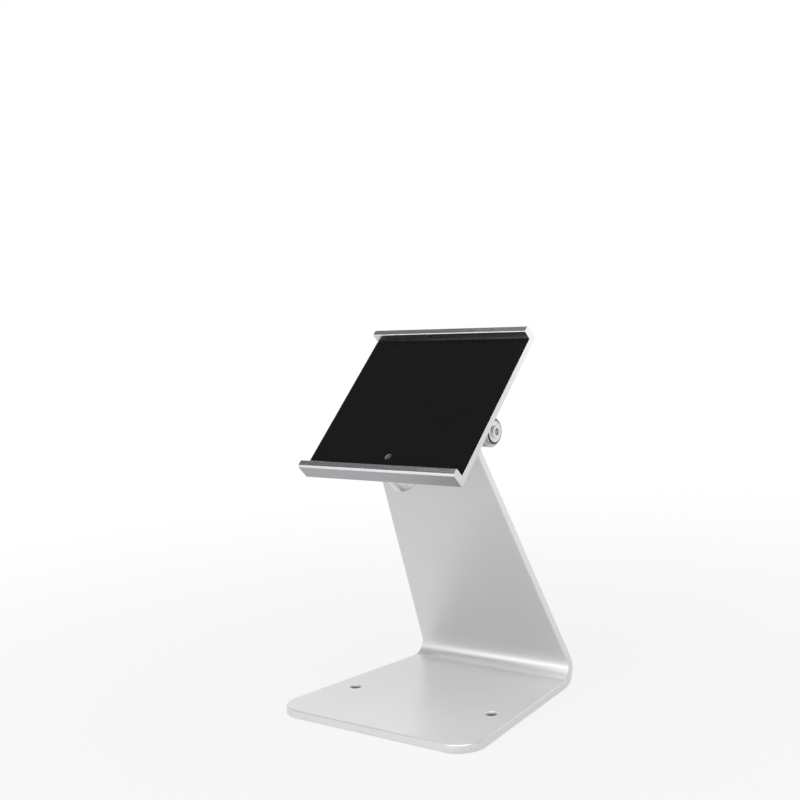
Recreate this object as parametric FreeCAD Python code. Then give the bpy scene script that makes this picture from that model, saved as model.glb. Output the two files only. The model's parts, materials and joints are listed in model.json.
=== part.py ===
import FreeCAD, Part

import math
import os

from FreeCAD import Placement, Rotation, Vector

# Tablet stand: a foot and arm bent from one aluminium sheet, a friction hinge at the
# top of the arm, and a tilting cradle with magnets under its mat and a key lock behind.
# Millimetres, +Z up, +Y to the back, +X to the right. The origin is on the table, in
# the middle of the footprint. The cradle is drawn at the tilt in which it rests.

# Foot and arm
sheet_thickness = 5.0
bend_inner_radius = 7.7
arm_lean_angle = 67.1
foot_flat = 122.0
front_width = 148.0
side_taper = 6.7
front_corner_radius = 16.0
arm_corner_radius = 3.0
edge_chamfer = 0.5
foot_hole_setback = 52.35
foot_hole_inset = 15.85
foot_hole_diameter = 4.2
foot_sink_diameter = 8.4
pad_thickness = 0.5
pad_inset = 3.0
pad_hole_diameter = 11.0

# Hinge axis, measured up the arm from the inner corner of the bend
axis_up_arm = 171.0
axis_behind_arm = 11.5
arm_past_axis = 6.0
tilt_at_rest = 42.8
tilt_down = 28.0
tilt_up = 34.0

# Hinge block and its screws
block_overhang = 1.62
block_boss_radius = 9.0
block_foot_inset = 9.5
block_foot_thickness = 6.0
block_foot_length = 29.0
block_top = 5.5
lower_screw_drop = 21.0
upper_screw_drop = 6.5

# Screws: button heads on the arm, countersunk ones under the mat
screw_diameter = 4.0
screw_head_diameter = 7.6
screw_socket = 2.5
screw_socket_depth = 1.5
button_rim_height = 0.6
button_height = 2.0
button_top_diameter = 4.6
block_screw_length = 10.0
screw_clearance = 0.2
thread_clearance = 0.05

# Shoulder bolts and washers on the hinge axis
pivot_diameter = 6.0
pivot_length = 22.0
washer_thickness = 1.2
washer_diameter = 11.6
ear_thickness = 5.5
ear_radius = 9.3
ear_root_width = 20.0
ear_chamfer = 0.4
running_clearance = 0.05
flange_diameter = 15.0
flange_thickness = 2.1
flange_face_diameter = 12.4
flange_slope_height = 0.5
bolt_boss_diameter = 7.4
bolt_boss_height = 1.1
bolt_socket = 4.0
bolt_socket_depth = 2.2

# Stop pins, in blind grooves on the ears
stop_pin_diameter = 2.0
stop_pin_orbit = 6.9
stop_pin_seat = 6.0
stop_pin_reach = 2.2
stop_groove_depth = 2.8
stop_clearance = 0.3

# Cradle, measured from the hinge axis out through the plate
mat_face = 21.0
mat_thickness = 0.8
floor_thickness = 4.0
cradle_width = 117.0
mat_height = 103.0
cradle_centre = 3.5
lip_thickness = 5.0
lip_height = 6.0
lip_chamfer = 1.1
cradle_edge_chamfer = 0.4
mat_gap = 0.3
web_thickness = 2.5
bracket_screw_spacing = 60.0
magnet_length = 36.0
magnet_width = 8.0
magnet_thickness = 2.0
magnet_clearance = 0.1
magnet_spacing = 68.0

# Lock behind the lower half of the cradle
lock_below_axis = 37.5
housing_diameter = 18.0
housing_behind_mat = 24.0
housing_edge_chamfer = 1.3
neck_diameter = 12.0
core_diameter = 11.6
core_length = 11.0
core_recess = 0.4
keyway_width = 1.3
keyway_height = 6.4
keyway_depth = 7.0
pin_diameter = 4.0
pin_head_diameter = 9.0
pin_head_height = 2.0
pin_travel = 5.0
pin_below_mat = 1.5
pin_chamfer = 0.5
mat_hole_diameter = 5.0
chamber_clearance = 0.3
set_screw_diameter = 2.5
set_screw_height = 4.0
set_screw_groove_depth = 0.9
set_screw_recess = 0.4
set_screw_socket = 1.3
set_screw_socket_depth = 1.2

# Worked out from the sizes above
half_turn = 180.0
bend_angle = half_turn - arm_lean_angle
bend_outer_radius = bend_inner_radius + sheet_thickness
bend_length = (bend_inner_radius + sheet_thickness / 2) * math.radians(bend_angle)
bend_tangent = bend_inner_radius * math.tan(math.radians(bend_angle / 2))
foot_front = -(foot_flat + bend_outer_radius) / 2
foot_back = foot_front + foot_flat
foot_top = pad_thickness + sheet_thickness
arm_end = axis_up_arm + arm_past_axis
blank_length = foot_flat + bend_length + arm_end - bend_tangent
arm_end_width = front_width - 2 * blank_length * math.tan(math.radians(side_taper))
block_width = arm_end_width + 2 * block_overhang
ear_inner = block_width / 2 + washer_thickness
ear_outer = ear_inner + ear_thickness
plate_back = mat_face - mat_thickness - floor_thickness
floor_front = mat_face - mat_thickness
mat_bottom = cradle_centre - mat_height / 2
mat_top = cradle_centre + mat_height / 2

# How far a cutting tool reaches past the face that it cuts, and how close counts as touching
spare = 1.0
touch = 0.001

ALONG_X = Vector(1, 0, 0)
arm_frame = Placement(Vector(0, foot_back + bend_tangent, foot_top), Rotation(ALONG_X, bend_angle))
hinge_axis = arm_frame.multVec(Vector(0, axis_up_arm, -axis_behind_arm))
cradle_frame = Placement(hinge_axis, Rotation(ALONG_X, tilt_at_rest))


def box(x0, x1, y0, y1, z0, z1):
    return Part.makeBox(x1 - x0, y1 - y0, z1 - z0, Vector(x0, y0, z0))


def rod(diameter, start, end):
    return Part.makeCylinder(diameter / 2, (end - start).Length, start, end - start)


def cone(start_diameter, end_diameter, start, end):
    return Part.makeCone(start_diameter / 2, end_diameter / 2, (end - start).Length, start, end - start)


def face_of(points):
    return Part.Face(Part.makePolygon(points + points[:1]))


def hexagon(across_flats, start, end):
    """A hexagonal prism for a socket, from one point to the other along its axis."""
    corner = across_flats / 2 / math.cos(math.radians(30))
    points = []
    for i in range(6):
        turn = math.radians(60 * i)
        points.append(Vector(corner * math.cos(turn), corner * math.sin(turn), 0))
    prism = face_of(points).extrude(Vector(0, 0, (end - start).Length))
    prism.Placement = Placement(start, Rotation(Vector(0, 0, 1), end - start))
    return prism


def placed(shape, frame):
    moved = shape.copy()
    moved.Placement = frame.multiply(moved.Placement)
    return moved


def mirrored(shape):
    return shape.mirror(Vector(0, 0, 0), ALONG_X)


def group(shapes):
    return Part.makeCompound(list(shapes))


def half_width(developed):
    """Half the sheet's width at a distance from the front edge, measured along the flat blank."""
    return front_width / 2 - developed * math.tan(math.radians(side_taper))


# Foot and arm
def foot_hole_places():
    """The mouths of the two desk screws' holes, on the foot's top face."""
    x = half_width(foot_hole_setback) - foot_hole_inset
    return [Vector(side * x, foot_front + foot_hole_setback, foot_top) for side in (-1, 1)]


def foot():
    """The flat foot, with its two large front corners still square."""
    front, back = half_width(0), half_width(foot_flat)
    outline = face_of([
        Vector(-front, foot_front, pad_thickness),
        Vector(front, foot_front, pad_thickness),
        Vector(back, foot_back, pad_thickness),
        Vector(-back, foot_back, pad_thickness),
    ])
    return outline.extrude(Vector(0, 0, sheet_thickness))


def bend():
    """The bend, whose sides keep closing in as the sheet goes round."""
    width = half_width(foot_flat)
    low, high = pad_thickness, foot_top
    section = face_of([
        Vector(-width, foot_back, low),
        Vector(width, foot_back, low),
        Vector(width, foot_back, high),
        Vector(-width, foot_back, high),
    ])
    centre_height = foot_top + bend_inner_radius
    turned = section.revolve(Vector(0, foot_back, centre_height), ALONG_X, bend_angle)
    beyond = width + spare
    inside, outside = bend_inner_radius - spare, bend_outer_radius + spare
    stations = 7
    wires = []
    for i in range(stations):
        share = i / (stations - 1)
        turn = math.radians(bend_angle * share)
        edge = half_width(foot_flat + bend_length * share)
        corners = []
        for x, radius in ((edge, inside), (beyond, inside), (beyond, outside), (edge, outside)):
            back = foot_back + radius * math.sin(turn)
            up = centre_height - radius * math.cos(turn)
            corners.append(Vector(x, back, up))
        wires.append(Part.makePolygon(corners + corners[:1]))
    side_cut = Part.makeLoft(wires, True, False)
    return turned.cut(side_cut).cut(mirrored(side_cut))


def arm():
    """The flat arm, with its top corners rounded."""
    start = foot_flat + bend_length
    low, high = half_width(start), half_width(start + arm_end - bend_tangent)
    outline = face_of([
        Vector(-low, bend_tangent, -sheet_thickness),
        Vector(low, bend_tangent, -sheet_thickness),
        Vector(high, arm_end, -sheet_thickness),
        Vector(-high, arm_end, -sheet_thickness),
    ])
    flat = outline.extrude(Vector(0, 0, sheet_thickness))
    top_corners = []
    for edge in flat.Edges:
        ends = [v.Point for v in edge.Vertexes]
        if all(abs(p.y - arm_end) < touch for p in ends) and edge.Length < 2 * sheet_thickness:
            top_corners.append(edge)
    return placed(flat.makeFillet(arm_corner_radius, top_corners), arm_frame)


def block_screw_places():
    """Where the two screws go through the arm, one above the other, in the arm's own frame."""
    return [Vector(0, axis_up_arm - drop, 0) for drop in (lower_screw_drop, upper_screw_drop)]


def sunk_hole(top, down, through, hole_diameter, sink_diameter):
    """A plain hole with a 90 degree countersink, from its mouth in the direction down."""
    sink = (sink_diameter - hole_diameter) / 2
    hole = rod(hole_diameter, top - down * spare, top + down * through)
    return hole.fuse(cone(sink_diameter, hole_diameter, top, top + down * sink))


def stand_plate():
    sheet = foot().fuse([bend(), arm()]).removeSplitter().Solids[0]
    front_corners = []
    for edge in sheet.Edges:
        ends = [v.Point for v in edge.Vertexes]
        if len(ends) == 2 and all(abs(p.y - foot_front) < touch for p in ends):
            if edge.BoundBox.ZLength > sheet_thickness / 2:
                front_corners.append(edge)
    sheet = sheet.makeFillet(front_corner_radius, front_corners)
    rim = []
    for edge in sheet.Edges:
        ends = [edge.Vertexes[0].Point, edge.Vertexes[-1].Point]
        across_sheet = abs(edge.Length - sheet_thickness) < touch
        level = abs(ends[0].y - ends[1].y) < touch and abs(ends[0].z - ends[1].z) < touch
        at_front = abs(ends[0].y - foot_front) < touch
        at_top = (ends[0] - arm_frame.Base).Length > axis_up_arm
        if not across_sheet and (not level or at_front or at_top):
            rim.append(edge)
    sheet = sheet.makeChamfer(edge_chamfer, rim)
    down = Vector(0, 0, -1)
    through = sheet_thickness + spare
    for mouth in foot_hole_places():
        sheet = sheet.cut(sunk_hole(mouth, down, through, foot_hole_diameter, foot_sink_diameter))
    for place in block_screw_places():
        cutter = rod(screw_diameter + 2 * screw_clearance, place - down * spare, place + down * through)
        sheet = sheet.cut(placed(cutter, arm_frame))
    return sheet


def base_pad():
    """Non-slip film under the flat of the foot, set in from its outline."""
    front, back = half_width(pad_inset) - pad_inset, half_width(foot_flat - pad_inset) - pad_inset
    low, high = foot_front + pad_inset, foot_back - pad_inset
    outline = face_of([
        Vector(-front, low, 0),
        Vector(front, low, 0),
        Vector(back, high, 0),
        Vector(-back, high, 0),
    ])
    pad = outline.extrude(Vector(0, 0, pad_thickness))
    upright = [e for e in pad.Edges if e.BoundBox.ZLength > pad_thickness / 2]
    at_front = [e for e in upright if abs(e.BoundBox.YMin - low) < touch]
    pad = pad.makeFillet(front_corner_radius - pad_inset, at_front)
    for mouth in foot_hole_places():
        pad = pad.cut(rod(pad_hole_diameter, Vector(mouth.x, mouth.y, -spare), mouth))
    return pad


# Hinge on the stand's side
def countersunk_screw(length):
    """A countersunk screw with its head at z = 0 and its point down."""
    top = Vector(0, 0, 0)
    shank = screw_diameter - 2 * thread_clearance
    head_bottom = Vector(0, 0, (shank - screw_head_diameter) / 2)
    head = cone(screw_head_diameter, shank, top, head_bottom)
    solid = rod(shank, top, Vector(0, 0, -length)).fuse(head)
    socket = hexagon(screw_socket, Vector(0, 0, -screw_socket_depth), Vector(0, 0, spare))
    return solid.removeSplitter().cut(socket)


def button_screw(length):
    """A button head screw with the underside of its head at z = 0 and its point down."""
    seat, rim, top = Vector(0, 0, 0), Vector(0, 0, button_rim_height), Vector(0, 0, button_height)
    solid = rod(screw_diameter - 2 * thread_clearance, Vector(0, 0, -length), seat).fuse([
        rod(screw_head_diameter, seat, rim),
        cone(screw_head_diameter, button_top_diameter, rim, top),
    ])
    socket = hexagon(screw_socket, top - Vector(0, 0, screw_socket_depth), top + Vector(0, 0, spare))
    return solid.removeSplitter().cut(socket)


def axis_rod(diameter, half_length):
    """A rod on the hinge axis, in the arm's frame."""
    centre = Vector(0, axis_up_arm, -axis_behind_arm)
    reach = ALONG_X * half_length
    return rod(diameter, centre - reach, centre + reach)


def hinge_block():
    """The block: a foot flat against the arm's back, and a round boss bored along the hinge axis."""
    half = block_width / 2
    rear = -sheet_thickness
    heel = axis_up_arm - block_foot_length
    reach = half - block_foot_inset
    foot_bar = box(-reach, reach, heel, axis_up_arm + block_top, rear - block_foot_thickness, rear)
    heel_edges = []
    for edge in foot_bar.Edges:
        ends = [v.Point for v in edge.Vertexes]
        if all(abs(p.y - heel) < touch and abs(p.z - rear) > spare for p in ends):
            heel_edges.append(edge)
    foot_bar = foot_bar.makeFillet(block_foot_thickness / 2, heel_edges)
    boss = axis_rod(2 * block_boss_radius, half)
    wide, top = half + spare, axis_up_arm + block_boss_radius + spare
    in_sheet = box(-wide, wide, heel, top, rear, rear + block_boss_radius)
    block = foot_bar.fuse(boss).cut(in_sheet).removeSplitter()
    block = block.cut(axis_rod(pivot_diameter, wide))
    for place in block_screw_places():
        tip = place - Vector(0, 0, block_screw_length)
        block = block.cut(rod(screw_diameter, place, tip))
    for side in (-1, 1):
        block = block.cut(stop_pin(side))
    return placed(block, arm_frame)


def stop_pin(side):
    """A stop pin beside the hinge axis, in the arm's frame."""
    down_arm = Vector(0, axis_up_arm - stop_pin_orbit, -axis_behind_arm)
    inner = down_arm + ALONG_X * side * (block_width / 2 - stop_pin_seat)
    outer = down_arm + ALONG_X * side * (ear_inner + stop_pin_reach)
    return rod(stop_pin_diameter, inner, outer)


def stop_pins():
    return placed(group(stop_pin(side) for side in (-1, 1)), arm_frame)


def block_screws():
    screws = []
    for place in block_screw_places():
        screw = button_screw(block_screw_length - thread_clearance)
        screws.append(placed(screw, Placement(place, Rotation())))
    return placed(group(screws), arm_frame)


def friction_washers():
    """Discs between the block and the ears, small enough for the stop pins to pass outside them."""
    centre = Vector(0, axis_up_arm, -axis_behind_arm)
    discs = []
    for side in (-1, 1):
        inner = centre + ALONG_X * side * block_width / 2
        outer = centre + ALONG_X * side * ear_inner
        disc = rod(washer_diameter, inner, outer)
        discs.append(disc.cut(rod(pivot_diameter + 2 * running_clearance, inner, outer)))
    return placed(group(discs), arm_frame)


def pivot_bolts():
    """Shoulder bolts, screwed into the block from both sides, that carry the ears."""
    centre = Vector(0, axis_up_arm, -axis_behind_arm)
    bolts = []
    for side in (-1, 1):
        out = ALONG_X * side
        seat = centre + out * ear_outer
        flange_top = seat + out * flange_thickness
        slope_edge = flange_top - out * flange_slope_height
        boss_top = flange_top + out * bolt_boss_height
        solid = rod(pivot_diameter, seat - out * pivot_length, seat).fuse([
            rod(flange_diameter, seat, slope_edge),
            cone(flange_diameter, flange_face_diameter, slope_edge, flange_top),
            rod(bolt_boss_diameter, flange_top, boss_top),
        ]).removeSplitter()
        socket = hexagon(bolt_socket, boss_top - out * bolt_socket_depth, boss_top + out * spare)
        bolts.append(solid.cut(socket))
    return placed(group(bolts), arm_frame)


# Cradle: x to the right, y up the plate, z out of its front, all from the hinge axis
def ear(side):
    """An ear: a tapered lug with a round end about the hinge axis, chamfered round its outer face."""
    root = ear_root_width / 2
    inner, outer = side * ear_inner, side * ear_outer
    outline = face_of([
        Vector(inner, -ear_radius, 0),
        Vector(inner, ear_radius, 0),
        Vector(inner, root, plate_back),
        Vector(inner, -root, plate_back),
    ])
    lug = outline.extrude(Vector(outer - inner, 0, 0))
    lug = lug.fuse(rod(2 * ear_radius, Vector(inner, 0, 0), Vector(outer, 0, 0))).removeSplitter()
    rim = []
    for edge in lug.Edges:
        box_of_edge = edge.BoundBox
        on_outer_face = abs(box_of_edge.XMin - outer) < touch and abs(box_of_edge.XMax - outer) < touch
        if on_outer_face and box_of_edge.ZMin < plate_back - spare:
            rim.append(edge)
    lug = lug.makeChamfer(ear_chamfer, rim)
    return lug.cut(stop_groove(side))


def stop_groove(side):
    """The blind groove in an ear that lets the stop pin pass over the whole tilt."""
    pin_at_rest = bend_angle - tilt_at_rest + half_turn
    half = stop_pin_diameter / 2 + stop_clearance
    mouth = side * (ear_inner - spare)
    bottom = side * (ear_inner + stop_groove_depth)
    section = face_of([
        Vector(mouth, stop_pin_orbit - half, 0),
        Vector(mouth, stop_pin_orbit + half, 0),
        Vector(bottom, stop_pin_orbit + half, 0),
        Vector(bottom, stop_pin_orbit - half, 0),
    ])
    groove = section.revolve(Vector(0, 0, 0), ALONG_X, tilt_down + tilt_up)
    ends = []
    for turn in (0, tilt_down + tilt_up):
        centre = Rotation(ALONG_X, turn).multVec(Vector(0, stop_pin_orbit, 0))
        ends.append(rod(2 * half, centre + ALONG_X * mouth, centre + ALONG_X * bottom))
    groove = groove.fuse(ends).removeSplitter()
    groove.rotate(Vector(0, 0, 0), ALONG_X, pin_at_rest - tilt_up)
    return groove


def bracket_screw_places():
    return [Vector(side * bracket_screw_spacing / 2, 0, floor_front) for side in (-1, 1)]


def hinge_bracket():
    """The bracket: a web against the cradle's back, with an ear at each end."""
    root = ear_root_width / 2
    web = box(-ear_outer, ear_outer, -root, root, plate_back - web_thickness, plate_back)
    bracket = web.fuse([ear(-1), ear(1)]).removeSplitter()
    reach = ALONG_X * (ear_outer + spare)
    bracket = bracket.cut(rod(pivot_diameter + 2 * running_clearance, -reach, reach))
    through_web = Vector(0, 0, floor_thickness + web_thickness + spare)
    for place in bracket_screw_places():
        bracket = bracket.cut(rod(screw_diameter, place - through_web, place))
    return placed(bracket, cradle_frame)


def bracket_screws():
    """Screws from the cradle's front, under the mat, as long as the floor and the web."""
    length = floor_thickness + web_thickness
    screws = [placed(countersunk_screw(length), Placement(p, Rotation())) for p in bracket_screw_places()]
    return placed(group(screws), cradle_frame)


def magnet_places():
    places = []
    for row in (-1, 1):
        for column in (-1, 1):
            x, y = column * magnet_spacing / 2, cradle_centre + row * magnet_spacing / 2
            places.append(Vector(x, y, floor_front))
    return places


def magnet_bar(place, clearance, depth):
    """A bar centred on a place and sunk to a depth, or its pocket, which is wider all round."""
    half_length, half_breadth = magnet_length / 2 + clearance, magnet_width / 2 + clearance
    low, high = place.y - half_breadth, place.y + half_breadth
    return box(place.x - half_length, place.x + half_length, low, high, place.z - depth, place.z)


def cradle_channel():
    """The extruded channel: a floor between two lips, cut to length."""
    low, high = mat_bottom - lip_thickness, mat_top + lip_thickness
    front = mat_face + lip_height
    small, large = cradle_edge_chamfer, lip_chamfer
    half_outline = [
        (high - small, plate_back),
        (high, plate_back + small),
        (high, front - large),
        (high - large, front),
        (mat_top + small, front),
        (mat_top, front - small),
        (mat_top, floor_front),
    ]
    middle = 2 * cradle_centre
    other_half = [(middle - y, z) for y, z in reversed(half_outline)]
    half = cradle_width / 2
    points = [Vector(-half, y, z) for y, z in half_outline + other_half]
    channel = face_of(points).extrude(Vector(cradle_width, 0, 0))
    down = Vector(0, 0, -1)
    hole = screw_diameter + 2 * screw_clearance
    sink = screw_head_diameter + 2 * screw_clearance
    for place in bracket_screw_places():
        channel = channel.cut(sunk_hole(place, down, floor_thickness + spare, hole, sink))
    for place in magnet_places():
        channel = channel.cut(magnet_bar(place, magnet_clearance, magnet_thickness))
    channel = channel.cut(lock_rod(neck_diameter, plate_back - spare, floor_front + spare))
    return placed(channel, cradle_frame)


def magnets():
    bars = [magnet_bar(place, 0, magnet_thickness) for place in magnet_places()]
    return placed(group(bars), cradle_frame)


def cradle_mat():
    """The sheet that covers the floor, with a hole for the locking pin."""
    half = cradle_width / 2 - mat_gap
    mat = box(-half, half, mat_bottom + mat_gap, mat_top - mat_gap, floor_front, mat_face)
    mat = mat.cut(lock_rod(mat_hole_diameter, floor_front - spare, mat_face + spare))
    return placed(mat, cradle_frame)


# Key lock
housing_rear = mat_face - housing_behind_mat
core_rear = housing_rear + core_recess
core_front = core_rear + core_length
pin_head_rear = core_front + chamber_clearance
pin_tip = mat_face - pin_below_mat
chamber_front = pin_head_rear + pin_head_height + pin_travel + chamber_clearance
set_screw_level = housing_rear + set_screw_height


def lock_rod(diameter, rear, front):
    """A rod on the lock's axis, between two heights of the cradle's frame."""
    return rod(diameter, Vector(0, -lock_below_axis, rear), Vector(0, -lock_below_axis, front))


def lock_housing():
    """The barrel, with a neck through the cradle's floor and a chamfered rear edge."""
    barrel = lock_rod(housing_diameter, housing_rear, plate_back)
    rear_rim = [e for e in barrel.Edges if abs(e.BoundBox.ZMax - housing_rear) < touch]
    barrel = barrel.makeChamfer(housing_edge_chamfer, rear_rim)
    barrel = barrel.fuse(lock_rod(neck_diameter, plate_back, floor_front)).removeSplitter()
    core_bore, pin_bore = core_diameter + 2 * running_clearance, pin_diameter + 2 * running_clearance
    barrel = barrel.cut(lock_rod(core_bore, housing_rear - spare, chamber_front))
    barrel = barrel.cut(lock_rod(pin_bore, chamber_front - spare, floor_front + spare))
    centre = Vector(0, -lock_below_axis, set_screw_level)
    outside = centre + Vector(0, housing_diameter, 0)
    return placed(barrel.cut(rod(set_screw_diameter, centre, outside)), cradle_frame)


def lock_set_screw():
    """The grub screw in the barrel's wall, with its point in the groove of the key cylinder."""
    centre = Vector(0, -lock_below_axis, set_screw_level)
    point = core_diameter / 2 - set_screw_groove_depth + stop_clearance
    head = housing_diameter / 2 - set_screw_recess
    shank = set_screw_diameter - 2 * thread_clearance
    screw = rod(shank, centre + Vector(0, point, 0), centre + Vector(0, head, 0))
    socket_floor = centre + Vector(0, head - set_screw_socket_depth, 0)
    socket = hexagon(set_screw_socket, socket_floor, centre + Vector(0, head + spare, 0))
    return placed(screw.cut(socket), cradle_frame)


def lock_core():
    """The key cylinder, with a keyway in its rear face and a groove for the grub screw."""
    core = lock_rod(core_diameter, core_rear, core_front)
    groove_floor = core_diameter - 2 * set_screw_groove_depth
    reach = set_screw_diameter / 2 + stop_clearance
    ring = lock_rod(core_diameter + spare, set_screw_level - reach, set_screw_level + reach)
    core = core.cut(ring.cut(lock_rod(groove_floor, set_screw_level - reach, set_screw_level + reach)))
    wide, high = keyway_width / 2, keyway_height / 2
    centre = -lock_below_axis
    keyway = box(-wide, wide, centre - high, centre + high, core_rear - spare, core_rear + keyway_depth)
    return placed(core.cut(keyway), cradle_frame)


def lock_pin():
    """The locking pin, drawn back so that its tip lies below the mat's face."""
    head_front = pin_head_rear + pin_head_height
    pin = lock_rod(pin_diameter, head_front, pin_tip)
    pin = pin.makeChamfer(pin_chamfer, [e for e in pin.Edges if e.BoundBox.ZMin > pin_tip - touch])
    pin = pin.fuse(lock_rod(pin_head_diameter, pin_head_rear, head_front)).removeSplitter()
    return placed(pin, cradle_frame)


nodes = {
    "stand_plate": stand_plate(),
    "base_pad": base_pad(),
    "hinge_block": hinge_block(),
    "block_screws": block_screws(),
    "friction_washers": friction_washers(),
    "pivot_bolts": pivot_bolts(),
    "stop_pins": stop_pins(),
    "hinge_bracket": hinge_bracket(),
    "bracket_screws": bracket_screws(),
    "cradle_channel": cradle_channel(),
    "magnets": magnets(),
    "cradle_mat": cradle_mat(),
    "lock_housing": lock_housing(),
    "lock_set_screw": lock_set_screw(),
    "lock_core": lock_core(),
    "lock_pin": lock_pin(),
}

os.makedirs("parts", exist_ok=True)
for node, shape in nodes.items():
    shape.exportStep(os.path.join("parts", node + ".step"))

print("foot holes", [[round(v, 3) for v in place] for place in foot_hole_places()])
print("hinge axis", [round(v, 3) for v in hinge_axis])
print("plate normal", [round(v, 5) for v in cradle_frame.Rotation.multVec(Vector(0, 0, 1))])
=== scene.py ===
import json
import math

import bmesh
import bpy
from mathutils import Matrix, Vector


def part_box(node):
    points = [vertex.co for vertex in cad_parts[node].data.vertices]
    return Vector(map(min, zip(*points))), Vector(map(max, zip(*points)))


# Tablet stand, in metres: +Z up, +Y to the back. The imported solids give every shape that
# moves or carries something, and this script gives them their surfaces and fine edges.

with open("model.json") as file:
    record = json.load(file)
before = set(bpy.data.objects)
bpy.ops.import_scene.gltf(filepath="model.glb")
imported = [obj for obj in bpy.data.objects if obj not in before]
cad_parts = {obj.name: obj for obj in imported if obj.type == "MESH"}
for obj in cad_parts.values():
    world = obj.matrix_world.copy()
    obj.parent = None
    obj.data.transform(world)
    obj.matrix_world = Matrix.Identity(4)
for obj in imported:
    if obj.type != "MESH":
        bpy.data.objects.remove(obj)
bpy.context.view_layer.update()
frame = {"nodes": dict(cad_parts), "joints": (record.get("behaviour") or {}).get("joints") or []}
nodes = frame["nodes"]
MM = 0.001


# Foot and arm
# One plate of 5 mm aluminium, cut to a taper, bent up at the back and leaning forward.
# Its outline is milled with a small chamfer before the whole plate is blasted and anodised.
def linear(hex_colour):
    """An sRGB colour such as "dfdfdf" as the linear RGBA that the shaders take."""
    channels = [int(hex_colour[i : i + 2], 16) / 255 for i in (0, 2, 4)]
    curved = [c / 12.92 if c <= 0.04045 else ((c + 0.055) / 1.055) ** 2.4 for c in channels]
    return (*curved, 1.0)


def add(tree, kind, settings=(), links=()):
    """Adds a node. Settings give its properties and inputs, and links feed its inputs.

    An input goes by its name, or by its number where several have the same name.
    """
    node = tree.nodes.new("ShaderNode" + kind)
    for name, value in dict(settings).items():
        if isinstance(name, int) or name in node.inputs:
            node.inputs[name].default_value = value
        else:
            setattr(node, name, value)
    for name, source in dict(links).items():
        tree.links.new(source, node.inputs[name])
    return node


# The numbers of the Mix node's two colours and of its mixed colour
FIRST_COLOUR = 6
SECOND_COLOUR = 7
MIXED_COLOUR = 2


def new_material(name):
    """An empty material and its output, ready for a shader."""
    material = bpy.data.materials.new(name)
    material.use_nodes = True
    material.node_tree.nodes.clear()
    output = material.node_tree.nodes.new("ShaderNodeOutputMaterial")
    return material, material.node_tree, output


def dress(node_name, material):
    """Gives a CAD solid its material."""
    mesh = nodes[node_name].data
    mesh.materials.clear()
    mesh.materials.append(material)
    return nodes[node_name]


def dress_faces(node_name, material, inside):
    """Gives a CAD solid's faces another material, where their middles pass a test."""
    mesh = nodes[node_name].data
    mesh.materials.append(material)
    for face in mesh.polygons:
        if inside(face.center):
            face.material_index = len(mesh.materials) - 1


def ease_edges(node_name, width):
    """Rounds the sharp edges of a CAD solid by a width, as deburring does."""
    piece = nodes[node_name]
    weld = piece.modifiers.new("joined_faces", "WELD")
    weld.merge_threshold = 0.002 * MM
    ease = piece.modifiers.new("eased_edges", "BEVEL")
    ease.width = width
    ease.segments = 2
    ease.limit_method = "ANGLE"
    ease.angle_limit = math.radians(32)
    ease.harden_normals = True
    ease.use_clamp_overlap = True


# Blasted and anodised: the clear oxide over the dimpled metal scatters most of the light,
# which leaves a soft, wide shine with no direction. The dimples of the 0.1 mm glass beads
# are drawn 0.6 mm wide so that they show, and make the surface a little smoother or
# rougher from point to point. The oxide's tone varies a little over 40 mm.
BEAD_GRAIN = 0.6 * MM
BEAD_DEPTH = 0.02 * MM
OXIDE_PATCH = 40 * MM
SMOOTHER = 0.03
ROUGHER = 0.04
BLASTED_SILVER = "dfdfdf"
BLASTED_SHADE = "dadadb"


def anodised_aluminium(name, light, dark, roughness, clearness, drawn_out=1.0):
    """Anodised metal. The clearer its oxide, the more of its light is a reflection.

    The grain is drawn out along X by a factor, as the die's lines are on an extrusion.
    """
    material, tree, output = new_material(name)
    place = add(tree, "TexCoord")
    along = add(
        tree,
        "VectorMath",
        {"operation": "MULTIPLY", 1: (1 / drawn_out, 1.0, 1.0)},
        {0: place.outputs["Object"]},
    )
    grain = add(
        tree,
        "TexNoise",
        {"Scale": 1 / BEAD_GRAIN, "Detail": 2.0, "Roughness": 0.6},
        {"Vector": along.outputs["Vector"]},
    )
    clouds = add(
        tree,
        "TexNoise",
        {"Scale": 1 / OXIDE_PATCH, "Detail": 3.0, "Roughness": 0.5},
        {"Vector": place.outputs["Object"]},
    )
    tone = add(
        tree,
        "Mix",
        {"data_type": "RGBA", FIRST_COLOUR: linear(light), SECOND_COLOUR: linear(dark)},
        {"Factor": clouds.outputs["Fac"]},
    )
    shine = add(
        tree,
        "MapRange",
        {
            "From Min": 0.3,
            "From Max": 0.7,
            "To Min": roughness - SMOOTHER,
            "To Max": roughness + ROUGHER,
        },
        {"Value": grain.outputs["Fac"]},
    )
    dimples = add(
        tree,
        "Bump",
        {"Strength": 0.10, "Distance": BEAD_DEPTH},
        {"Height": grain.outputs["Fac"]},
    )
    metal = add(
        tree,
        "BsdfPrincipled",
        {"Metallic": clearness},
        {
            "Base Color": tone.outputs[MIXED_COLOUR],
            "Roughness": shine.outputs["Result"],
            "Normal": dimples.outputs["Normal"],
        },
    )
    tree.links.new(metal.outputs["BSDF"], output.inputs["Surface"])
    return material


blasted_plate = anodised_aluminium(
    "blasted_anodised_aluminium",
    light=BLASTED_SILVER,
    dark=BLASTED_SHADE,
    roughness=0.38,
    clearness=0.58,
)
dress("stand_plate", blasted_plate)
ease_edges("stand_plate", 0.25 * MM)

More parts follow.
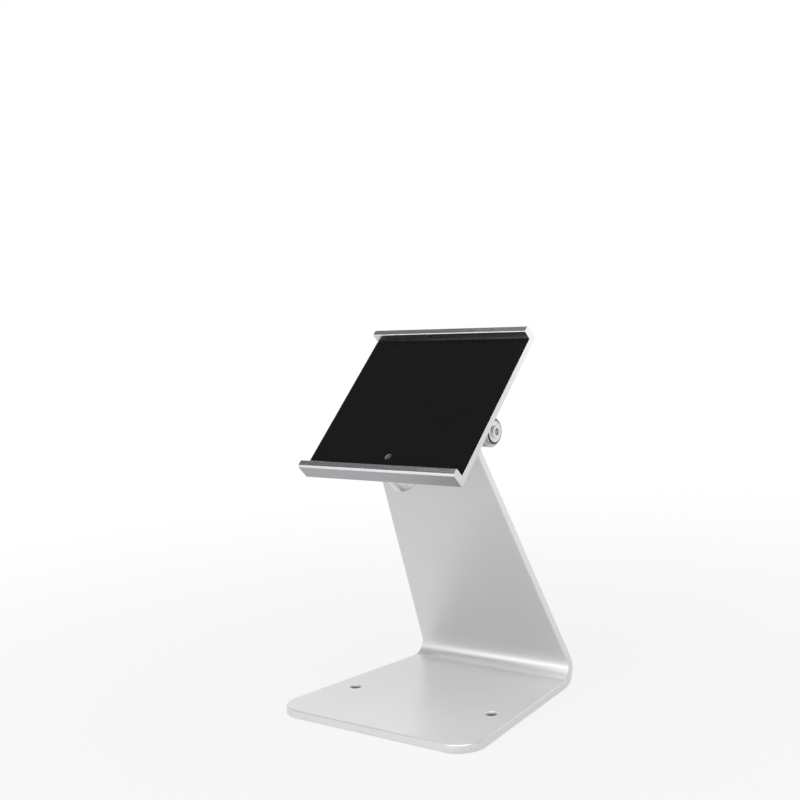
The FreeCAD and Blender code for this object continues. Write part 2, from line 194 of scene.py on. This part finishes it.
# The two desk holes are drilled and countersunk before blasting. Each countersink's colour
# is painted darker towards its narrow bottom: painted shade in the hollow. The holes lie
# 52 mm to each side of the stand's middle and 15 mm from it along Y.
DESK_HOLE_X = 52 * MM
DESK_HOLE_Y = 15 * MM
SINK_RADIUS = 4.3 * MM
SHADE_FULL_RADIUS = 2.6 * MM
SHADE_END_RADIUS = 3.8 * MM
FOOT_TOP = 5.5 * MM
PAINTED_SINK_SHADE = "4c4d4f"


def from_desk_hole(tree):
    """How far a point is from the nearer desk hole's axis, seen from above."""
    place = add(tree, "TexCoord")
    either_side = add(tree, "VectorMath", {"operation": "ABSOLUTE"}, {0: place.outputs["Object"]})
    seen_from_above = add(
        tree,
        "VectorMath",
        {"operation": "MULTIPLY", 1: (1.0, 1.0, 0.0)},
        {0: either_side.outputs["Vector"]},
    )
    distance = add(
        tree,
        "VectorMath",
        {"operation": "DISTANCE", 1: (DESK_HOLE_X, DESK_HOLE_Y, 0.0)},
        {0: seen_from_above.outputs["Vector"]},
    )
    return distance.outputs["Value"]


# Painted shade: each countersink's colour darkens towards the hole's axis.
painted_shade_sink, sink_tree, sink_output = new_material("countersink_painted_shade")
mouth = add(
    sink_tree,
    "MapRange",
    {"From Min": SHADE_FULL_RADIUS, "From Max": SHADE_END_RADIUS},
    {"Value": from_desk_hole(sink_tree)},
)
sink_shade_tone = add(
    sink_tree,
    "Mix",
    {
        "data_type": "RGBA",
        FIRST_COLOUR: linear(PAINTED_SINK_SHADE),
        SECOND_COLOUR: linear(BLASTED_SHADE),
    },
    {"Factor": mouth.outputs["Result"]},
)
sink_metal = add(
    sink_tree,
    "BsdfPrincipled",
    {"Metallic": 0.3, "Roughness": 0.5},
    {"Base Color": sink_shade_tone.outputs[MIXED_COLOUR]},
)
sink_tree.links.new(sink_metal.outputs["BSDF"], sink_output.inputs["Surface"])


def in_desk_hole(point):
    """Whether a point lies in one of the two countersinks or their bores."""
    from_axis = math.hypot(abs(point.x) - DESK_HOLE_X, abs(point.y) - DESK_HOLE_Y)
    return from_axis < SINK_RADIUS and point.z < FOOT_TOP


dress_faces("stand_plate", painted_shade_sink, in_desk_hole)


# Non-slip film
# Half a millimetre of silicone film under the foot, cut a little inside its outline, with
# clear rings for the two desk screws. It is dark and matt, with a faint printed grain.
DUST_PATCH = 25 * MM


def soft_sheet(name, colour, dusty, grain_size, roughness, sheen, depth):
    """Rubber or plastic with a fine grain, and with paler patches where dust clings."""
    material, tree, output = new_material(name)
    place = add(tree, "TexCoord")
    grain = add(
        tree,
        "TexNoise",
        {"Scale": 1 / grain_size, "Detail": 3.0, "Roughness": 0.55},
        {"Vector": place.outputs["Object"]},
    )
    dust = add(
        tree,
        "TexNoise",
        {"Scale": 1 / DUST_PATCH, "Detail": 4.0, "Roughness": 0.6},
        {"Vector": place.outputs["Object"]},
    )
    tone = add(
        tree,
        "Mix",
        {"data_type": "RGBA", FIRST_COLOUR: linear(colour), SECOND_COLOUR: linear(dusty)},
        {"Factor": dust.outputs["Fac"]},
    )
    dimples = add(
        tree,
        "Bump",
        {"Strength": 0.5, "Distance": depth},
        {"Height": grain.outputs["Fac"]},
    )
    skin = add(
        tree,
        "BsdfPrincipled",
        {"Roughness": roughness, "Specular IOR Level": sheen},
        {"Base Color": tone.outputs[MIXED_COLOUR], "Normal": dimples.outputs["Normal"]},
    )
    tree.links.new(skin.outputs["BSDF"], output.inputs["Surface"])
    return material


film = soft_sheet(
    "matt_silicone_film",
    colour="222223",
    dusty="29292a",
    grain_size=0.9 * MM,
    roughness=0.75,
    sheen=0.3,
    depth=0.05 * MM,
)
dress("base_pad", film)


# Hinge block
# A bar of aluminium sawn from extrusion, with a round boss bored for the hinge bolts. It
# lies flat on the arm's back, and it is blasted with the plate, so it has the same finish.
dress("hinge_block", blasted_plate)
ease_edges("hinge_block", 0.3 * MM)

# Block screws
# Two M4 button head screws in stainless steel, one above the other, through the arm into
# the block. Turned heads shine more than the plate and have fine rings.
RING_PITCH = 0.35 * MM
ALONG_X = (1, 0, 0)


def turned_metal(name, colour, roughness, point, axis, pitch, relief):
    """Metal turned about an axis through a point: fine rings that catch the light in a cross."""
    material, tree, output = new_material(name)
    place = add(tree, "TexCoord")
    offset = add(
        tree,
        "VectorMath",
        {"operation": "SUBTRACT", 1: point},
        {0: place.outputs["Object"]},
    )
    across = add(
        tree,
        "VectorMath",
        {"operation": "CROSS_PRODUCT", 1: axis},
        {0: offset.outputs["Vector"]},
    )
    radius = add(tree, "VectorMath", {"operation": "LENGTH"}, {0: across.outputs["Vector"]})
    turns = add(
        tree,
        "Math",
        {"operation": "MULTIPLY", 1: 2 * math.pi / pitch},
        {0: radius.outputs["Value"]},
    )
    rings = add(tree, "Math", {"operation": "SINE"}, {0: turns.outputs["Value"]})
    grooves = add(
        tree,
        "Bump",
        {"Strength": 0.35, "Distance": relief},
        {"Height": rings.outputs["Value"]},
    )
    metal = add(
        tree,
        "BsdfPrincipled",
        {"Base Color": linear(colour), "Metallic": 1.0, "Roughness": roughness},
        {"Normal": grooves.outputs["Normal"]},
    )
    tree.links.new(metal.outputs["BSDF"], output.inputs["Surface"])
    return material


hinge_low, hinge_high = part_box("pivot_bolts")
hinge_axis = (hinge_low + hinge_high) / 2
stainless = turned_metal(
    "turned_stainless_steel",
    colour="d2d2d3",
    roughness=0.2,
    point=hinge_axis,
    axis=ALONG_X,
    pitch=RING_PITCH,
    relief=0.01 * MM,
)
dress("block_screws", stainless)

# Stop pins
# Two hardened steel dowels pressed into the ends of the block. They run in blind grooves
# in the ears and stop the tilt at both ends, so only their grey sides ever show.
ground_steel = turned_metal(
    "ground_steel",
    colour="a9a9ab",
    roughness=0.3,
    point=hinge_axis,
    axis=ALONG_X,
    pitch=RING_PITCH,
    relief=0.005 * MM,
)
dress("stop_pins", ground_steel)

# Friction washers
# Two thin discs of black acetal between the block and the ears.
acetal = soft_sheet(
    "stamped_acetal",
    colour="161617",
    dusty="1c1c1d",
    grain_size=0.4 * MM,
    roughness=0.5,
    sheen=0.4,
    depth=0.01 * MM,
)
dress("friction_washers", acetal)

# Hinge bolts
# Two shoulder bolts in polished stainless steel clamp the ears on the washers. The slope
# round the face of each wide flange is painted dark as a ring of painted shade, and the rest
# is turned bright.
FLANGE_FACE_RADIUS = 6.4 * MM
SLOPE_START = 1.7 * MM
dress("pivot_bolts", stainless)
ease_edges("pivot_bolts", 0.15 * MM)
# Painted shade: dark grey steel for the flange slopes and the barrel's rear chamfer, standing in for
# the dark ring that shade and reflection make there.
dark_edge_shade = turned_metal(
    "painted_shade_dark_steel",
    colour="4a4a4b",
    roughness=0.35,
    point=hinge_axis,
    axis=ALONG_X,
    pitch=RING_PITCH,
    relief=0.004 * MM,
)


def on_flange_slope(point):
    """Whether a point lies on the slope between a flange's rim and its face."""
    from_axis = math.hypot(point.y - hinge_axis.y, point.z - hinge_axis.z)
    return from_axis > FLANGE_FACE_RADIUS and abs(point.x) > hinge_high.x - SLOPE_START


dress_faces("pivot_bolts", dark_edge_shade, on_flange_slope)

# Hinge bracket
# The cradle's half of the hinge: a milled aluminium bar with an ear at each end, anodised
# without much blasting, so that it reflects more than the plate. It turns about the bolts.
milled = anodised_aluminium(
    "milled_anodised_aluminium",
    light="bfc0c2",
    dark="b8b9bb",
    roughness=0.30,
    clearness=0.85,
)
dress("hinge_bracket", milled)
ease_edges("hinge_bracket", 0.25 * MM)

# Bracket screws
# Two M4 countersunk screws in stainless steel. They go in from the cradle's front to hold
# the bracket, and the mat covers their heads.
dress("bracket_screws", stainless)

# Cradle channel
# A length of extruded aluminium, a floor with a lip along its top and bottom, sawn to
# length and anodised. The drawn faces stay smooth but for fine lines along the length, and
# the outer faces of the lips are rougher and painted darker, as painted shade.
DIE_LINE_LENGTH = 25.0
NEAR_FACE = 0.1 * MM
drawn = anodised_aluminium(
    "extruded_anodised_aluminium",
    light="d2d3d5",
    dark="cbccce",
    roughness=0.26,
    clearness=0.95,
    drawn_out=DIE_LINE_LENGTH,
)
# Painted shade: a darker copy of the drawn finish for the lips' outer faces.
lip_painted_shade = anodised_aluminium(
    "lip_face_painted_shade",
    light="b2b3b5",
    dark="a4a5a8",
    roughness=0.36,
    clearness=0.9,
    drawn_out=DIE_LINE_LENGTH,
)
channel = dress("cradle_channel", drawn)
ease_edges("cradle_channel", 0.2 * MM)
joints = {joint["name"]: joint for joint in frame["joints"]}
mat_normal = Vector(joints["key_turn"]["axis"])
up_the_mat = mat_normal.cross(Vector(ALONG_X))
reaches = [up_the_mat.dot(vertex.co) for vertex in channel.data.vertices]


def on_lip_outer_face(point):
    """Whether a point lies on the channel's uppermost or lowest face."""
    reach = up_the_mat.dot(point)
    return not min(reaches) + NEAR_FACE < reach < max(reaches) - NEAR_FACE


dress_faces("cradle_channel", lip_painted_shade, on_lip_outer_face)

# Magnets
# Four nickel plated bars pressed into routed pockets in the channel's floor, from where
# they hold a tablet's case through the mat.
nickel_plate = turned_metal(
    "nickel_plate",
    colour="c4bfb6",
    roughness=0.25,
    point=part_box("cradle_mat")[0],
    axis=ALONG_X,
    pitch=2 * MM,
    relief=0.002 * MM,
)
dress("magnets", nickel_plate)

# Mat
# A sheet of black rubber glued between the lips, soft enough not to mark what leans on
# it. Its skin is dull, with a fine moulded grain of 0.5 mm.
rubber = soft_sheet(
    "moulded_black_rubber",
    colour="0d0d0d",
    dusty="121112",
    grain_size=0.5 * MM,
    roughness=0.8,
    sheen=0.07,
    depth=0.03 * MM,
)
dress("cradle_mat", rubber)
ease_edges("cradle_mat", 0.25 * MM)

# Lock barrel
# A plated barrel pressed into the floor of the cradle, with a keyed cylinder in its rear
# end, a chamfer round that end painted dark as painted shade, and a steel pin that comes
# out through the mat.
CHAMFER = 1.2 * MM
BARREL_FACE_RADIUS = 7.9 * MM
pin_low, pin_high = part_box("lock_pin")
lock_centre = (pin_low + pin_high) / 2
lock_axis = mat_normal
plated = turned_metal(
    "polished_nickel",
    colour="cfcfce",
    roughness=0.12,
    point=lock_centre,
    axis=lock_axis,
    pitch=0.4 * MM,
    relief=0.002 * MM,
)
barrel = dress("lock_housing", plated)
ease_edges("lock_housing", 0.15 * MM)
barrel_rear = min(lock_axis.dot(vertex.co) for vertex in barrel.data.vertices)


def on_barrel_chamfer(point):
    """Whether a point lies on the chamfer round the barrel's rear end."""
    from_axis = (point - lock_centre).cross(lock_axis).length
    return from_axis > BARREL_FACE_RADIUS and lock_axis.dot(point) < barrel_rear + CHAMFER


# Painted shade on the rear chamfer.
dress_faces("lock_housing", dark_edge_shade, on_barrel_chamfer)
satin_nickel = turned_metal(
    "satin_nickel",
    colour="aaa7a1",
    roughness=0.3,
    point=lock_centre,
    axis=lock_axis,
    pitch=0.5 * MM,
    relief=0.006 * MM,
)
dress("lock_core", satin_nickel)
ground_pin = turned_metal(
    "dark_ground_steel",
    colour="6d6c6b",
    roughness=0.4,
    point=lock_centre,
    axis=lock_axis,
    pitch=0.5 * MM,
    relief=0.004 * MM,
)
dress("lock_pin", ground_pin)
dress("lock_set_screw", stainless)


# Studio
# Grey paper that glows white to the eye, except below the two desk holes, and a white
# backdrop under a dim ceiling. A soft box overhead gives the light, and low ones in front
# and behind brighten the edges.
HOLE_SHADE = 6.0 * MM
PAPER_COLOUR = "b0b0b2"
PAPER_REACH = 4.0
GLOW_NEAR = 0.84
FADE_START = 0.1
FADE_END = 0.8
ROOM_COLOUR = "f4f4f6"
ROOM_LIGHT = 0.58
BACKDROP_END = 0.25
CEILING_START = 0.55
CEILING_TONE = 0.1
WHITE = (1.0, 1.0, 1.0, 1.0)


def white_to_the_eye(tree):
    """1 for the rays that show the background: from the camera, in a reflection or through glass."""
    rays = add(tree, "LightPath")
    direct = add(
        tree,
        "Math",
        {"operation": "MAXIMUM"},
        {0: rays.outputs["Is Camera Ray"], 1: rays.outputs["Is Glossy Ray"]},
    )
    seen = add(
        tree,
        "Math",
        {"operation": "MAXIMUM"},
        {0: direct.outputs["Value"], 1: rays.outputs["Is Transmission Ray"]},
    )
    return seen.outputs["Value"]


paper, paper_tree, paper_output = new_material("studio_paper")
middle = add(paper_tree, "TexCoord")
distance = add(paper_tree, "VectorMath", {"operation": "LENGTH"}, {0: middle.outputs["Object"]})
fade = add(
    paper_tree,
    "MapRange",
    {
        "interpolation_type": "SMOOTHSTEP",
        "From Min": FADE_START,
        "From Max": FADE_END,
        "To Min": GLOW_NEAR,
    },
    {"Value": distance.outputs["Value"]},
)
glow_share = add(
    paper_tree,
    "Math",
    {"operation": "MULTIPLY"},
    {0: fade.outputs["Result"], 1: white_to_the_eye(paper_tree)},
)
beside_hole = add(
    paper_tree,
    "Math",
    {"operation": "GREATER_THAN", 1: HOLE_SHADE},
    {0: from_desk_hole(paper_tree)},
)
open_glow = add(
    paper_tree,
    "Math",
    {"operation": "MULTIPLY"},
    {0: glow_share.outputs["Value"], 1: beside_hole.outputs["Value"]},
)
sheet = add(paper_tree, "BsdfDiffuse", {"Color": linear(PAPER_COLOUR)})
glow = add(paper_tree, "Emission", {"Color": WHITE, "Strength": 1.0})
mixed = add(
    paper_tree,
    "MixShader",
    (),
    {0: open_glow.outputs["Value"], 1: sheet.outputs["BSDF"], 2: glow.outputs["Emission"]},
)
paper_tree.links.new(mixed.outputs["Shader"], paper_output.inputs["Surface"])

floor_mesh = bpy.data.meshes.new("studio_floor")
shape = bmesh.new()
corners = ((-1, -1), (1, -1), (1, 1), (-1, 1))
shape.faces.new([shape.verts.new((x * PAPER_REACH, y * PAPER_REACH, 0.0)) for x, y in corners])
shape.to_mesh(floor_mesh)
shape.free()
floor_mesh.materials.append(paper)
floor = bpy.data.objects.new("studio_floor", floor_mesh)
scene = bpy.context.scene
scene.collection.objects.link(floor)

room = bpy.data.worlds.new("white_room")
room.use_nodes = True
room_tree = room.node_tree
room_tree.nodes.clear()
walls = add(room_tree, "Background", {"Color": linear(ROOM_COLOUR), "Strength": ROOM_LIGHT})
look = add(room_tree, "TexCoord")
height = add(room_tree, "SeparateXYZ", (), {"Vector": look.outputs["Generated"]})
backdrop = add(
    room_tree,
    "MapRange",
    {
        "interpolation_type": "SMOOTHSTEP",
        "From Min": BACKDROP_END,
        "From Max": CEILING_START,
        "To Min": 1.0,
        "To Max": CEILING_TONE,
    },
    {"Value": height.outputs["Z"]},
)
bright = add(room_tree, "Background", {"Color": WHITE}, {"Strength": backdrop.outputs["Result"]})
either = add(
    room_tree,
    "MixShader",
    (),
    {
        0: white_to_the_eye(room_tree),
        1: walls.outputs["Background"],
        2: bright.outputs["Background"],
    },
)
room_output = room_tree.nodes.new("ShaderNodeOutputWorld")
room_tree.links.new(either.outputs["Shader"], room_output.inputs["Surface"])
scene.world = room

# The lamps face the middle of the stand's arm.
LAMP_AIM = Vector((0, 0, 0.1))


def soft_box(name, place, width, height, brightness):
    """A rectangular lamp that faces the stand. A brightness of 1 looks as bright as white paper."""
    lamp = bpy.data.lights.new(name, "AREA")
    lamp.shape = "RECTANGLE"
    lamp.size = width
    lamp.size_y = height
    lamp.energy = brightness * math.pi * width * height
    rig = bpy.data.objects.new(name, lamp)
    rig.location = place
    towards = LAMP_AIM - Vector(place)
    rig.rotation_euler = towards.to_track_quat("-Z", "Y").to_euler()
    scene.collection.objects.link(rig)


soft_box("top_light", (0.3, -0.7, 1.5), width=2.0, height=2.0, brightness=2.2)
soft_box("rear_light", (-1.2, 1.5, 0.9), width=1.8, height=1.0, brightness=0.5)
soft_box("front_edge_light", (-0.5, -1.8, 0.5), width=2.0, height=0.9, brightness=1.3)
soft_box("side_edge_light", (0.9, 1.8, 0.55), width=2.0, height=1.0, brightness=0.8)

# The camera stands nearly 0.8 m from the stand, a little higher than its top.
CAMERA_PLACE = Vector((0.4714, -0.60125, 0.2626))
CAMERA_RIGHT = Vector((0.7808, 0.6215, -0.0637))
CAMERA_UP = Vector((-0.0115, 0.1161, 0.9932))
CAMERA_BACK = Vector((0.6247, -0.7747, 0.0978))
FOCAL_LENGTH = 57.3
SENSOR_WIDTH = 36.0
lens = bpy.data.cameras.new("camera")
lens.sensor_width = SENSOR_WIDTH
lens.lens = FOCAL_LENGTH
camera = bpy.data.objects.new("camera", lens)
turn = Matrix((CAMERA_RIGHT, CAMERA_UP, CAMERA_BACK)).transposed().to_4x4()
camera.matrix_world = Matrix.Translation(CAMERA_PLACE) @ turn
scene.collection.objects.link(camera)
scene.camera = camera
scene.view_settings.view_transform = "Standard"
